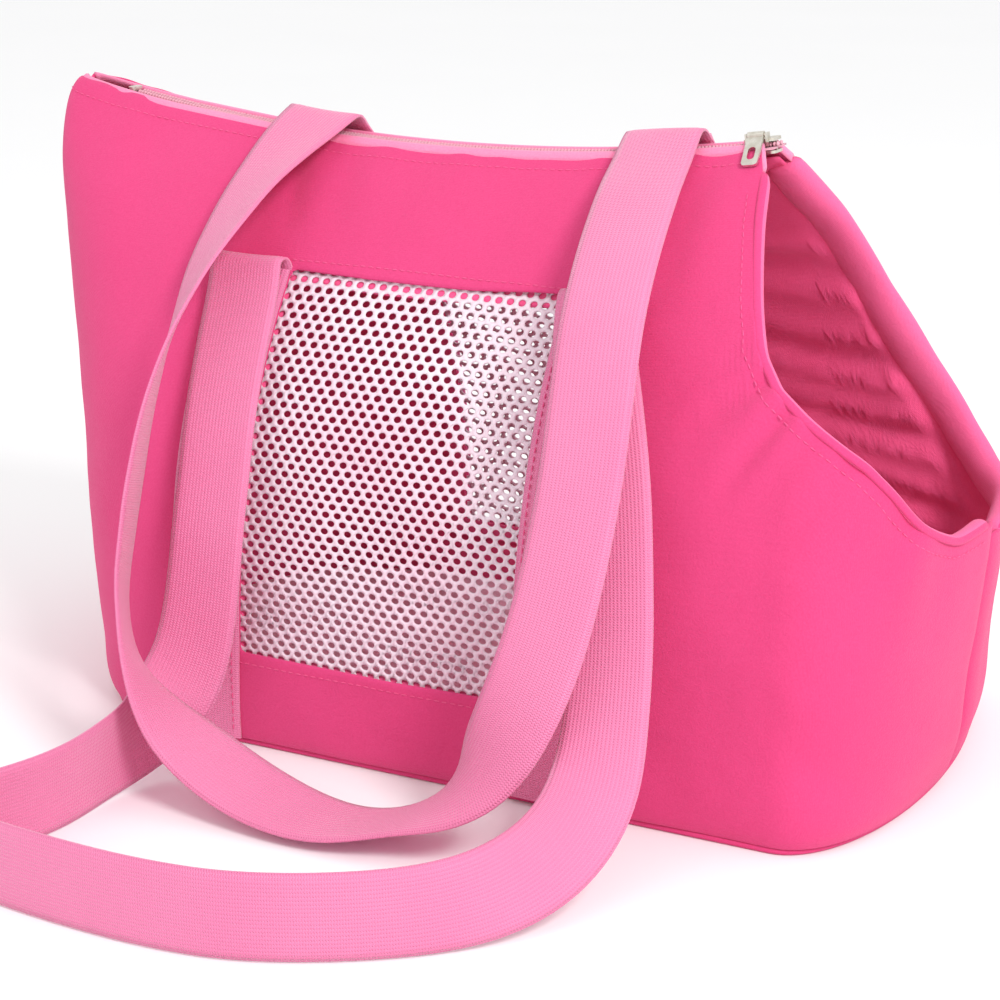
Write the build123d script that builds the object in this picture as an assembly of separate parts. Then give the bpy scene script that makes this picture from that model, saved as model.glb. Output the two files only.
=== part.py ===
"""Shoulder carrier for a small pet: two shaped side panels that meet at a zipped ridge.

Frame: X runs from the rear of the bag (-X) to the head opening (+X), -Y is the near
side and +Y the far side, +Z is up. The origin is on the floor, under the middle of the
base's straight stretch. All lengths are in millimetres.

Every fabric layer is cut from the same net of columns and rows on the bag's surface, set
in from the outside by its own distance, so the layers keep their order and clearances
when a size is changed.
"""
from build123d import *
from math import cos, pi, sin, sqrt
import os

# ---------------------------------------------------------------- driving dimensions
base_rear_x = -165.0          # rear end of the base
base_front_x = 198.0          # front end of the base
half_width = 101.0            # half of the bag's width at the base
ridge_low_z = 238.0           # lowest height of the ridge, between the handles
ridge_low_x = -20.0           # where along the bag the ridge is lowest
ridge_radius = 858.0          # radius of the ridge's sag
side_power = 3.0              # how long the sides stay upright before they close in
rear_lean = 44.0              # how far the rear leans out on its way up
rear_corner = 13.0            # how far the rear's top corner is rounded back
front_lean = 14.0             # how far the front bulges out on its way up
rear_round = 65.0             # length of the base's rounded rear end
rear_power = 2.2              # squareness of the rear end at the base
ridge_power = 6.0             # added squareness at the ridge, where the hems run on to the rear
front_round = 39.0            # length of the base's rounded front end
front_power = 2.05            # squareness of the front end
round_steps = 7               # facets round a quarter of an end

panel_thick = 2.0             # outer fabric with its thin padding
mesh_thick = 0.6
lining_thick = 1.0
tape_thick = 0.7              # facings and binding tapes inside
layer_gap = 0.15              # air between two layers of fabric
facing_gap = 0.8              # the turned facings stand a little off the lining
base_thick = 2.5
board_thick = 3.0
board_clearance = 3.0
cushion_thick = 16.0
cushion_clearance = 6.0

window_rear_x = -66.0
window_front_x = 55.0
window_low_z = 40.0
window_high_z = ridge_low_z - 52.0
window_lap = 8.0              # how far the mesh runs under the panel's edge

strap_width = 32.0
strap_thick = 1.6
strap_off = 0.2               # a sewn strap's distance from the panel
sewn_high_z = ridge_low_z * 188 / 238   # where the webbing leaves the panel
ridge_lift = 1.6              # how far a draped strap arches above the ridge
facing_width = 12.0           # turned facing along the head opening

zip_half_gap = 7.5            # from the middle of the zip to a hem
zip_rear_x = -178.0
zip_front_x = 118.0
zip_tape_thick = 0.8
zip_tape_short = 0.9          # from the tape's edge to the hem
chain_half_gap = 0.9          # half of the gap that the slider's post runs in
chain_width = 2.0
chain_high = 1.8
chain_short = 6.0             # the chain stops this far before the tape's rear end
slider_long = 13.0
slider_half_width = 4.6
slider_plate = 1.1
slider_clearance = 0.5
pull_long = 15.0
pull_wide = 6.5
pull_thick = 1.2
pull_pin_radius = 0.6
pull_slope = 42.0             # how steeply the pull hangs over the near hem, in degrees

# Height and length of the head opening's edge, from the zip's end to the front seam.
near_rim = [(118, 232), (126, 208), (136, 178), (146, 166), (163, 154), (183, 142), (196, 124),
            (206, 107)]
far_rim = [(118, 232), (130, 212), (142, 178), (157, 147), (174, 120), (190, 104), (206, 100)]

# Middle line of each handle's free loop, and the way that its width points there, drawn
# for a bag of these sizes. The loops follow the bag's own sizes where they differ.
drawn_half_width = 101.0
drawn_ridge_z = 238.0
drawn_strap_width = 32.0
near_route = [
    ((-81, -63, 184), (1, 0, 0)), ((-77, -88, 148), (1, 0, 0)), ((-72, -108, 104), (1, 0, 0)),
    ((-72, -116, 68), (1, 0, -0.3)), ((-74, -122, 40), (1, 0, -0.5)), ((-80, -143, 20), (0.2, 0, -1)),
    ((-83, -170, 17), (0, 0, -1)), ((-82, -198, 16.5), (0, 0, -1)), ((-90, -221, 16.5), (0, 0, -1)),
    ((-99, -240, 16.5), (0, 0, -1)), ((-84, -256, 16.5), (0, 0, -1)), ((-52, -260, 16.5), (0, 0, -1)),
    ((-12, -261, 16.5), (0, 0, -1)), ((18, -259, 16.5), (0, 0, -1)), ((42, -251, 16.5), (0, 0, -1)),
    ((66, -238, 16.5), (0, 0, -1)), ((88, -221, 17), (0.1, 0, -1)), ((103, -202, 19), (0.4, 0, -1)),
    ((112, -178, 24), (0.8, 0, -0.8)), ((113, -152, 34), (1, 0, -0.4)), ((109, -134, 52), (1, 0, 0)),
    ((106, -123, 75), (1, 0, 0)), ((103, -117, 102), (1, 0, 0)), ((95, -103, 140), (1, 0, 0)),
    ((80, -83, 167), (1, 0, 0)), ((71.6, -66.5, 181), (1, 0, 0)), ((71, -63, 184), (1, 0, 0))]
far_route = [
    ((-79, -3.3, 243.4), (1, 0, -0.08)), ((-82, -17, 237.6), (1, 0, -0.02)),
    ((-85, -37, 227), (1, -0.1, 0.2)),
    ((-87, -54, 214), (1, -0.3, 0.3)), ((-89, -72, 200), (1, -0.6, 0.3)), ((-92, -91, 180), (0.8, -1, 0.2)),
    ((-96, -105, 155), (0.5, -1, 0.1)), ((-98, -117, 124), (0.4, -1, 0)), ((-98, -126, 97), (0.4, -1, 0)),
    ((-96, -137, 71), (0.5, -1, 0)), ((-84, -150, 51), (0.8, -1, -0.1)), ((-63, -155, 29), (0.5, -1, -0.4)),
    ((-32, -158, 13), (0, -1, -0.3)), ((0, -160, 6), (0, -1, -0.1)), ((23, -158, 7), (0, -1, 0.05)),
    ((44, -153, 13), (0.3, -1, 0.1)), ((60, -152, 24), (0.6, -0.8, -0.1)), ((71, -150, 38), (0.9, -0.4, -0.3)),
    ((80, -148, 56), (1, -0.1, -0.2)), ((87, -142, 78), (1, 0, -0.1)), ((91, -135, 102), (1, 0, 0)),
    ((93, -126, 130), (1, 0, 0)), ((92, -116, 152), (1, 0, 0)), ((88, -100, 178), (1, 0, 0)),
    ((85, -85, 197), (1, 0, 0)), ((82, -64, 215), (1, 0, 0)), ((77, -38, 229), (1, 0, 0)),
    ((74, -17, 238.8), (1, 0, 0.06)), ((72, -3.3, 245.5), (1, 0, 0.11))]

os.makedirs("parts", exist_ok=True)


# ---------------------------------------------------------------- the bag's surface
def ridge_z(x, drop=0.0):
    """Height of the ridge over x: a shallow arc that sags between the handles."""
    across = min(abs(x - ridge_low_x), 0.6 * ridge_radius)
    return ridge_low_z - drop + ridge_radius - sqrt(ridge_radius ** 2 - across ** 2)


def bag_point(column, rise, inset, side):
    """A point of the bag's surface, set in from the outside by inset.

    A column is a part of the bag and a place in it: ("rear", turn) and ("front", turn) go
    round an end, from 0 at its centre seam to a quarter turn, and ("side", x) is between
    them. rise goes from 0 at the base to 1 at the ridge.
    """
    part, place = column
    if part == "rear":
        seam_x = base_rear_x - rear_lean * rise + rear_corner * rise ** 20 + inset
        join_x = base_rear_x + rear_round
        power = rear_power + ridge_power * rise ** 8
        x = join_x + (seam_x - join_x) * max(cos(place), 0.0) ** (2 / power)
        spread = sin(place) ** (2 / power)
    elif part == "front":
        seam_x = base_front_x + front_lean * sin(0.8 * pi * rise) - inset
        join_x = base_front_x - front_round
        x = join_x + (seam_x - join_x) * max(cos(place), 0.0) ** (2 / front_power)
        spread = sin(place) ** (2 / front_power)
    else:
        x = place
        spread = 1.0
    z = base_thick + rise * (ridge_z(x, 1.3 * inset) - base_thick)
    y = side * (half_width - inset) * (1 - rise ** side_power) * spread
    return Vector(x, y, z)


def rise_of(z):
    """The share of the way up the side at which the bag is z high, where its ridge is lowest."""
    return (z - base_thick) / (ridge_low_z - base_thick)


hem_rise = (1 - zip_half_gap / half_width) ** (1 / side_power)
strap_rear_x = window_rear_x - strap_width
strap_front_x = window_front_x
window_middle_x = (window_rear_x + window_front_x) / 2
quarter = pi / 2
side_places = [
    strap_rear_x, strap_rear_x + strap_width / 2, window_rear_x - window_lap, window_rear_x,
    (window_rear_x + window_middle_x) / 2, window_middle_x, (window_middle_x + window_front_x) / 2,
    window_front_x, window_front_x + window_lap, strap_front_x + strap_width / 2,
    strap_front_x + strap_width, zip_front_x]
rim_steps = [zip_front_x + share * (base_front_x - front_round - zip_front_x) for share in (0.2, 0.45, 0.7, 1)]
columns = [("rear", quarter * k / round_steps) for k in range(round_steps)]
columns += [("side", x) for x in side_places + rim_steps]
columns += [("front", quarter * (1 - k / round_steps)) for k in range(1, round_steps + 1)]
window_high = window_high_z - window_low_z
row_heights = [window_low_z - window_lap, window_low_z]
row_heights += [window_low_z + share * window_high for share in (0.2055, 0.411, 0.5822, 0.7192, 0.8562)]
row_heights += [window_high_z, window_high_z + window_lap]
row_heights += [window_high_z + window_lap + share * (ridge_low_z - window_high_z) for share in (0.2115, 0.4615)]
rows = [0.0, 0.5 * rise_of(window_low_z - window_lap)] + [rise_of(z) for z in row_heights] + [hem_rise]
sewn_rise = rise_of(sewn_high_z)


def rim_z(rim, x, step=0.0):
    """Height of the head opening's edge at x, or of a line a step inside the fabric."""
    edge = [(edge_x - step, edge_z - 0.6 * step) for edge_x, edge_z in rim]
    if x <= edge[0][0]:
        return None
    for (low_x, low_z), (high_x, high_z) in zip(edge, edge[1:]):
        if x <= high_x:
            return low_z + (high_z - low_z) * (x - low_x) / (high_x - low_x)
    return edge[-1][1]


def top_rise(column, rim, step=0.0):
    """Where a column of the net ends: at the hem by the zip, or at the head opening."""
    low, high = 0.0, hem_rise
    for _ in range(40):
        middle = (low + high) / 2
        point = bag_point(column, middle, 0.0, 1)
        edge_z = rim_z(rim, point.X, step)
        if edge_z is None or point.Z <= edge_z:
            low = middle
        else:
            high = middle
    return low if high < hem_rise else hem_rise


def stitched(cells, inset, thick, side):
    """A closed layer of fabric from the cells of the net, each a loop of (column, rise)."""
    flip = side > 0
    skins = {False: {}, True: {}}
    faces = []
    edges = set()

    def corner(spot, inner):
        if spot not in skins[inner]:
            depth = inset + thick if inner else inset
            skins[inner][spot] = bag_point(*spot, depth, side)
        return skins[inner][spot]

    def triangle(*points):
        faces.append(Face(Wire.make_polygon(points, close=True)))

    for cell in cells:
        loop = [spot for k, spot in enumerate(cell) if spot != cell[k - 1]]
        if len(loop) < 3:
            continue
        for second, third in zip(loop[1:], loop[2:]):
            triangle(*(corner(spot, False) for spot in (loop[0], second, third)))
            triangle(*(corner(spot, True) for spot in (third, second, loop[0])))
        edges |= {(loop[k - 1], loop[k]) for k in range(len(loop))}
    for start, end in edges:
        if (end, start) not in edges:
            triangle(corner(end, False), corner(start, False), corner(start, True))
            triangle(corner(end, False), corner(start, True), corner(end, True))
    solid = Solid(Shell(faces))
    return solid if solid.volume > 0 else -solid


def net(tops, first=0, last=None, low=0.0, high=1.0):
    """The cells between two columns and two heights, each column cut off at its top."""
    last = len(columns) - 1 if last is None else last
    levels = [rise for rise in rows if low - 1e-9 <= rise <= high + 1e-9]
    cells = []
    for k in range(first, last):
        for below, above in zip(levels, levels[1:]):
            spots = [(k, below), (k + 1, below), (k + 1, above), (k, above)]
            cells.append([(columns[c], min(rise, tops[c])) for c, rise in spots])
    return cells


def column_at(x):
    """The number of the column that stands at x."""
    return columns.index(("side", x))


def write(name, *solids):
    """Write one node, with one solid or a group of them."""
    shape = solids[0] if len(solids) == 1 else Compound(children=list(solids))
    export_step(shape, f"parts/{name}.step")
    print(f"{name}: {sum(s.volume for s in solids):.1f} mm3")


def whole(shape):
    """The largest solid of a cut shape."""
    return max(shape.solids(), key=lambda s: s.volume)


# ---------------------------------------------------------------- fabric of the body
mesh_inset = panel_thick + layer_gap
lining_inset = mesh_inset + mesh_thick + layer_gap
facing_inset = lining_inset + lining_thick + facing_gap
window_columns = (column_at(window_rear_x), column_at(window_front_x))
lap_columns = (column_at(window_rear_x - window_lap), column_at(window_front_x + window_lap))
window_rises = (rise_of(window_low_z), rise_of(window_high_z))
lap_rises = (rise_of(window_low_z - window_lap), rise_of(window_high_z + window_lap))
zip_front_column = column_at(zip_front_x)

for name, side, rim in (("near", -1, near_rim), ("far", 1, far_rim)):
    tops = [top_rise(column, rim) for column in columns]
    window = net(tops, *window_columns, *window_rises)
    around = [cell for cell in net(tops) if cell not in window]
    lap = net(tops, *lap_columns, *lap_rises)
    write(f"{name}_side_panel", stitched(around, 0.0, panel_thick, side))
    write(f"{name}_lining", stitched(around, lining_inset, lining_thick, side))
    write(f"{name}_mesh_window", stitched(lap, mesh_inset, mesh_thick, side))
    tape = [cell for cell in lap if cell not in window]
    write(f"{name}_window_tape", stitched(tape, facing_inset, tape_thick, side))
    facing = []
    for k in range(zip_front_column, len(columns) - 1):
        pair = columns[k], columns[k + 1]
        lower = [(column, top_rise(column, rim, facing_width)) for column in pair]
        upper = [(column, top_rise(column, rim)) for column in reversed(pair)]
        facing.append(lower + upper)
    write(f"{name}_opening_facing", stitched(facing, facing_inset, tape_thick, side))


def base_sheet(inset, low_z, thick):
    """A flat sheet of the base's outline, set in from the outside by inset."""
    near = [bag_point(column, 0.0, inset, -1) for column in columns]
    far = [Vector(p.X, -p.Y, p.Z) for p in reversed(near[1:-1])]
    outline = [Vector(p.X, p.Y, low_z) for p in near + far]
    return extrude(Face(Wire.make_polygon(outline, close=True)), amount=thick, dir=(0, 0, 1))


inside = facing_inset + tape_thick
write("base_panel", base_sheet(0.0, 0.0, base_thick))
write("base_board", base_sheet(inside + board_clearance, base_thick, board_thick))
write("base_cushion", base_sheet(inside + cushion_clearance, base_thick + board_thick, cushion_thick))


# ---------------------------------------------------------------- zip
def hem_z(x):
    """Height of the hems beside the zip."""
    return base_thick + hem_rise * (ridge_z(x) - base_thick)


def along_zip(start_x, end_x, low, high):
    """A strip's side view that follows the zip's sag between two heights off the tape."""
    middle_x = (start_x + end_x) / 2
    lower = [(x, tape_z(x) + low) for x in (start_x, middle_x, end_x)]
    upper = [(x, tape_z(x) + high) for x in (end_x, middle_x, start_x)]
    with BuildLine() as line:
        ThreePointArc(*lower)
        Line(lower[-1], upper[0])
        ThreePointArc(*upper)
        Line(upper[-1], lower[0])
    return make_face(line.line)


tape_low_z = hem_z(ridge_low_x) - 1.4
tape_radius = ridge_radius / hem_rise


def tape_z(x):
    """Height of the top of the zip's tape, an arc about the point that the slider turns on."""
    return tape_low_z + tape_radius - sqrt(tape_radius ** 2 - (x - ridge_low_x) ** 2)


def strip(outline, low_y, high_y):
    """A side-view outline driven from low_y to high_y."""
    return Pos(0, high_y, 0) * extrude(Plane.XZ * outline, amount=high_y - low_y)


tape_outline = along_zip(zip_rear_x, zip_front_x, -zip_tape_thick, 0.0)
chain_outline = along_zip(zip_rear_x + chain_short, zip_front_x, 0.0, chain_high)
for name, side in (("near", -1), ("far", 1)):
    tape_edges = sorted((side * chain_half_gap, side * (zip_half_gap - zip_tape_short)))
    chain_edges = sorted((side * chain_half_gap, side * (chain_half_gap + chain_width)))
    write(f"{name}_zip_tape", strip(tape_outline, *tape_edges))
    write(f"{name}_zip_chain", strip(chain_outline, *chain_edges))

stop_x = zip_rear_x + 0.4 * chain_short
stop_z = tape_z(stop_x - 2) + 0.1 + chain_high / 2
write("zip_rear_stop", Pos(stop_x, 0, stop_z) * fillet(Box(3.4, 7, chain_high).edges() | Axis.Z, 1.2))

slider_x = zip_front_x - slider_long / 2
slope = (slider_x - ridge_low_x) / sqrt(tape_radius ** 2 - (slider_x - ridge_low_x) ** 2)
slider_place = Plane(origin=(slider_x, 0, tape_z(slider_x)), x_dir=(1, 0, slope), z_dir=(-slope, 0, 1))
top_low = chain_high + slider_clearance
bottom_high = -zip_tape_thick - slider_clearance
body_wide = 2 * slider_half_width


def slider_plate_at(low):
    """One of the slider's two plates, rounded at its four corners."""
    plate = Pos(0, 0, low + slider_plate / 2) * Box(slider_long, body_wide, slider_plate)
    return fillet(plate.edges() | Axis.Z, 2.2)


post_high = top_low - bottom_high
post = Pos(slider_long / 2 - 2.4, 0, bottom_high + post_high / 2) * Box(
    3.0, 2 * (chain_half_gap - 0.35), post_high)
slider = slider_plate_at(top_low) + slider_plate_at(bottom_high - slider_plate) + post
for side in (-1, 1):
    flange_low = slider_clearance
    flange = Pos(0, side * (slider_half_width - 0.45), (flange_low + top_low) / 2) * Box(
        slider_long - 5, 0.9, top_low - flange_low)
    slider = slider + flange
# Two ears on the slider's near edge carry the pin that the pull's eye turns on.
pin_y = -slider_half_width - 1.2
pin_z = top_low + slider_plate + 1.8
ear_x = pull_wide / 2 + 0.8
for end in (-1, 1):
    ear = Pos(end * ear_x, pin_y + 0.9, pin_z - 1.1) * Box(0.8, 3.6, 3.6)
    slider = slider + ear
pin = Pos(0, pin_y, pin_z) * Rot(0, 90, 0) * Cylinder(pull_pin_radius, 2 * ear_x)
write("zip_slider", whole(slider_place * (slider + pin)))

# The pull lies over the near hem and down the side panel's slope.
eye = Cylinder(pull_pin_radius + 0.8, pull_wide, rotation=(0, 90, 0))
blade = Pos(0, -pull_long / 2, 0) * Box(pull_wide, pull_long, pull_thick)
blade = fillet(blade.edges() | Axis.Z, 1.6)
pull = eye + blade - Cylinder(pull_pin_radius + 0.12, 2 * pull_wide, rotation=(0, 90, 0))
slot = Pos(0, -0.62 * pull_long, 0) * extrude(SlotOverall(6.0, 3.0, rotation=90), amount=4, both=True)
pull_place = slider_place * Pos(0, pin_y, pin_z) * Rot(pull_slope, 0, 0)
write("zip_pull", whole(pull_place * (pull - slot)))


# ---------------------------------------------------------------- webbing
def sewn_strap(side, rear_x):
    """Webbing sewn flat on the outside of a side panel."""
    flat_tops = [sewn_rise] * len(columns)
    first, last = column_at(rear_x), column_at(rear_x + strap_width)
    return stitched(net(flat_tops, first, last), -strap_off - strap_thick, strap_thick, side)


def strap_ring(centre, width_way, travel):
    """A strap's cross-section at one point of its middle line."""
    travel = travel.normalized()
    wide = (Vector(*width_way) - travel * Vector(*width_way).dot(travel)).normalized()
    flat = travel.cross(wide)
    corners = [centre + wide * (a * strap_width / 2) + flat * (b * strap_thick / 2)
               for a, b in ((-1, -1), (1, -1), (1, 1), (-1, 1))]
    return Wire(Polyline(*corners, close=True).edges())


def loose_strap(route):
    """Webbing that hangs free: flat runs between the rings of its route."""
    points = [Vector(*centre) for centre, _ in route]
    rings = []
    for k, (_, width_way) in enumerate(route):
        travel = points[min(k + 1, len(points) - 1)] - points[max(k - 1, 0)]
        rings.append(strap_ring(points[k], width_way, travel))
    length = sum((b - a).length for a, b in zip(points, points[1:]))
    print(f"free loop {length:.0f} mm along its middle")
    return Solid.make_loft(rings, True)


for place, rear_x in (("rear", strap_rear_x), ("front", strap_front_x)):
    write(f"near_{place}_strap", sewn_strap(-1, rear_x))
    write(f"far_{place}_strap", sewn_strap(1, rear_x))
    # The far strap goes on from its sewn top up to the ridge, a little clear of the panel.
    middle_x = rear_x + strap_width / 2
    tilt = (ridge_z(rear_x + strap_width) - ridge_z(rear_x)) / strap_width
    riser = []
    for share in (0.06, 0.3, 0.55, 0.8):
        rise = sewn_rise + share * (1 - sewn_rise)
        on_bag = bag_point(("side", middle_x), rise, 0.0, 1)
        lift = 3.0 + ridge_lift * share
        riser.append(((middle_x, on_bag.Y + 0.6 * lift, on_bag.Z + 0.8 * lift), (1, 0, tilt)))
    top_z = ridge_z(middle_x) + ridge_lift + 1.2
    riser.append(((middle_x, 3.0, top_z), (1, 0, tilt)))
    write(f"far_{place}_riser", loose_strap(riser))

def fitted(route):
    """A drawn route moved out with the sides, up with the ridge and off the floor by its width."""
    moved = []
    for (x, y, z), width_way in route:
        share = min(1.0, max(0.0, (z - 20) / 60))
        up = share * z * (ridge_low_z / drawn_ridge_z - 1)
        up += (1 - share) * (strap_width - drawn_strap_width) / 2
        moved.append(((x, y * half_width / drawn_half_width, z + up), width_way))
    return moved


write("near_handle_loop", loose_strap(fitted(near_route)))
write("far_handle_loop", loose_strap(fitted(far_route)))
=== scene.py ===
# %% [markdown]
# # A soft pet carrier, sewn in Blender around its CAD frame
# The frame gives every size: the base, the windows, the straps and the points that the
# zip's slider and the two handles turn on. This notebook sews the cloth on top of it. We
# start by loading the frame and reading the boxes of its parts.

# %% Load the frame
import math
import bmesh
import bpy
import numpy as np
from mathutils import Matrix, Vector, noise
from mathutils.bvhtree import BVHTree


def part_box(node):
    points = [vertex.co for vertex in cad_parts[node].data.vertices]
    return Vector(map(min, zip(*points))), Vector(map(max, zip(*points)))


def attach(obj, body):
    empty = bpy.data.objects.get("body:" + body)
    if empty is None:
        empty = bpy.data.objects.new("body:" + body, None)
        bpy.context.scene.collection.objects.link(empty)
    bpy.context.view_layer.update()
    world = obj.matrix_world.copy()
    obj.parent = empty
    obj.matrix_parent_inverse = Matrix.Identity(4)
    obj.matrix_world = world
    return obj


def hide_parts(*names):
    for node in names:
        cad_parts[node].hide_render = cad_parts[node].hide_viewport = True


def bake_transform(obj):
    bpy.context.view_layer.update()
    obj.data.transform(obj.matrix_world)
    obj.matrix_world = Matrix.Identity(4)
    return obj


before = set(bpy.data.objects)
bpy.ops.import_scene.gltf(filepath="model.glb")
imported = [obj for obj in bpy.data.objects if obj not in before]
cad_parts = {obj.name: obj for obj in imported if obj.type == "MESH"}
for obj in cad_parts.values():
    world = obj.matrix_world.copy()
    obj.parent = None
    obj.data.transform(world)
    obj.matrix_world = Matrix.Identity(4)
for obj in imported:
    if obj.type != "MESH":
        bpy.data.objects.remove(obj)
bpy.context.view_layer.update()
MM = 0.001

# %% [markdown]
# ## The shape that every layer follows
# Panel, lining, mesh and sewn webbing all lie on one surface, each a little further in or
# out. On a real bag the pattern pieces do this. Here one function gives a point of that
# surface, so that the layers never cross, and each layer asks for its own depth.

# %% Driving sizes, read from the frame where it has them
base_low, base_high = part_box("base_panel")
REAR_X, FRONT_X = base_low[0], base_high[0]
HALF_WIDTH, BASE_TOP = base_high[1], base_high[2]
mesh_low, mesh_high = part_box("near_mesh_window")
LAP = 8 * MM
WINDOW_X = (mesh_low[0] + LAP, mesh_high[0] - LAP)
WINDOW_Z = (40 * MM, 186 * MM)
ZIP_X = (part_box("near_zip_tape")[0][0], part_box("near_zip_tape")[1][0])
STRAP_WIDTH, STRAP_THICK = 32 * MM, 1.6 * MM
PANEL_THICK, LINING_THICK, KNIT_THICK = 2.0 * MM, 0.6 * MM, 0.7 * MM
LINING_INSET, KNIT_INSET = 3.0 * MM, 2.4 * MM
RIDGE_LOW, RIDGE_X, RIDGE_RADIUS = 238 * MM, -20 * MM, 858 * MM
REAR_ROUND, FRONT_ROUND = 65 * MM, 39 * MM
REAR_LEAN, REAR_CORNER, FRONT_LEAN = 44 * MM, 13 * MM, 14 * MM
SIDE_POWER, REAR_POWER, FRONT_POWER, RIDGE_POWER = 3.0, 2.2, 2.05, 6.0
ZIP_HALF_GAP = 7.5 * MM
HEM_RISE = (1 - ZIP_HALF_GAP / HALF_WIDTH) ** (1 / SIDE_POWER)
RIDGE_DROP = 1.3    # how far the ridge of an inner layer drops, as a share of its inset
SEWN_TOP = 187 * MM
print("window x", [round(x, 3) for x in WINDOW_X], "hem rise", round(HEM_RISE, 3))


# %% A point of the bag's surface
def ridge_z(x):
    across = min(abs(x - RIDGE_X), 0.6 * RIDGE_RADIUS)
    return RIDGE_LOW + RIDGE_RADIUS - math.sqrt(RIDGE_RADIUS ** 2 - across ** 2)


def bag_point(column, rise, inset=0.0, side=-1):
    """column is ("rear", turn), ("side", x) or ("front", turn); rise goes from 0 at the base to 1."""
    part, place = column
    if part == "side":
        x, spread = place, 1.0
    else:
        if part == "rear":
            seam = REAR_X - REAR_LEAN * rise + REAR_CORNER * rise ** 20 + inset
            join, power = REAR_X + REAR_ROUND, REAR_POWER + RIDGE_POWER * rise ** 8
        else:
            seam = FRONT_X + FRONT_LEAN * math.sin(0.8 * math.pi * rise) - inset
            join, power = FRONT_X - FRONT_ROUND, FRONT_POWER
        x = join + (seam - join) * max(math.cos(place), 0.0) ** (2 / power)
        spread = max(math.sin(place), 0.0) ** (2 / power)
    z = BASE_TOP + rise * (ridge_z(x) - RIDGE_DROP * inset - BASE_TOP)
    y = side * (HALF_WIDTH - inset) * (1 - rise ** SIDE_POWER) * spread
    return Vector((x, y, z))


def on_side(x, z, inset=0.0, side=-1):
    """The surface's point at x and height z, on the straight stretch of one side."""
    rise = (z - BASE_TOP) / (ridge_z(x) - RIDGE_DROP * inset - BASE_TOP)
    return bag_point(("side", x), rise, inset, side)


def outward(x, z, side=-1):
    """The way out of the bag at a point of its side."""
    up = on_side(x, z + MM, 0, side) - on_side(x, z - MM, 0, side)
    along = on_side(x + MM, z, 0, side) - on_side(x - MM, z, 0, side)
    return (along.cross(up) * (1 if side < 0 else -1)).normalized()


# %% Where the head opening cuts the sides
NEAR_RIM = [(118, 236), (121, 222), (126, 207), (131, 192), (137, 177), (146, 166), (158, 158),
            (170, 151), (182, 143), (191, 132), (198, 119), (206, 107)]
FAR_RIM = [(118, 236), (124, 224), (130, 212), (136, 195), (142, 178), (150, 162), (158, 145),
           (167, 131), (177, 116), (188, 106), (198, 102), (206, 100)]


def rim_height(rim, x):
    return np.interp(x / MM, [p[0] for p in rim], [p[1] for p in rim]) * MM


def column_top(column, rim):
    """How far up a column the cloth reaches: to the hem beside the zip, or to the head opening."""
    low, high = 0.0, HEM_RISE
    for _ in range(30):
        middle = (low + high) / 2
        point = bag_point(column, middle)
        if point.x <= rim[0][0] * MM or point.z <= rim_height(rim, point.x):
            low = middle
        else:
            high = middle
    return low


def spaced(low, high, step):
    """Evenly spaced values from low to high, both ends included."""
    count = max(1, round((high - low) / step))
    return [low + (high - low) * k / count for k in range(count + 1)]


QUARTER = math.pi / 2
TURNS = [QUARTER * k / 20 for k in range(20)]
side_stops = [REAR_X + REAR_ROUND, *WINDOW_X, ZIP_X[1], ZIP_X[1] + 32 * MM, FRONT_X - FRONT_ROUND]
side_steps = [4 * MM, 4 * MM, 4 * MM, 2 * MM, 2.5 * MM]
side_places = []
for low, high, step in zip(side_stops, side_stops[1:], side_steps):
    side_places += spaced(low, high, step)[:-1]
COLUMNS = [("rear", t) for t in TURNS] + [("side", x) for x in side_places]
COLUMNS += [("front", t) for t in [QUARTER] + TURNS[::-1]]
row_stops = [0.0, (WINDOW_Z[0] - BASE_TOP) / (RIDGE_LOW - BASE_TOP),
             (WINDOW_Z[1] - BASE_TOP) / (RIDGE_LOW - BASE_TOP), HEM_RISE]
ROWS = [0.0, 0.006, 0.014] + spaced(0.026, row_stops[1], 0.018)[:-1]
ROWS += spaced(row_stops[1], row_stops[2], 0.018)[:-1] + spaced(row_stops[2], row_stops[3], 0.013)
print(len(COLUMNS), "columns by", len(ROWS), "rows")


# %% [markdown]
# ## Small helpers
# A finished piece sits at the origin with its place in its mesh. `piece` makes one from
# points and faces, and `plain` swaps live modifiers for the mesh that they give.

# %% Making and finishing pieces
def piece(name, points, faces, finish, smooth=True):
    mesh = bpy.data.meshes.new(name)
    mesh.from_pydata([tuple(p) for p in points], [], faces)
    mesh.validate()
    if smooth:
        mesh.shade_smooth()
    made = bpy.data.objects.new(name, mesh)
    bpy.context.scene.collection.objects.link(made)
    if finish:
        mesh.materials.append(finish)
    return made


def plain(made):
    """The evaluated mesh in place of the live one, with no modifier left."""
    graph = bpy.context.evaluated_depsgraph_get()
    mesh = bpy.data.meshes.new_from_object(made.evaluated_get(graph), depsgraph=graph)
    made.modifiers.clear()
    made.data = mesh
    return made


def face_outwards(made, bridged=False):
    """Turns every face outwards, after joining two open edges into one shell if bridged."""
    bm = bmesh.new()
    bm.from_mesh(made.data)
    if bridged:
        bmesh.ops.bridge_loops(bm, edges=[e for e in bm.edges if e.is_boundary])
    bmesh.ops.recalc_face_normals(bm, faces=bm.faces)
    bm.to_mesh(made.data)
    bm.free()
    return made


def tube_faces(rings, count):
    """Faces between rings of count points each, and then the two flat ends."""
    faces = []
    for k in range(rings - 1):
        for m in range(count):
            n = (m + 1) % count
            faces.append([k * count + m, k * count + n, (k + 1) * count + n, (k + 1) * count + m])
    return faces + [list(range(count))[::-1], [(rings - 1) * count + m for m in range(count)]]


def modifier(made, kind, **settings):
    added = made.modifiers.new(kind.title(), kind)
    for key, value in settings.items():
        setattr(added, key, value)
    return added


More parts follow.
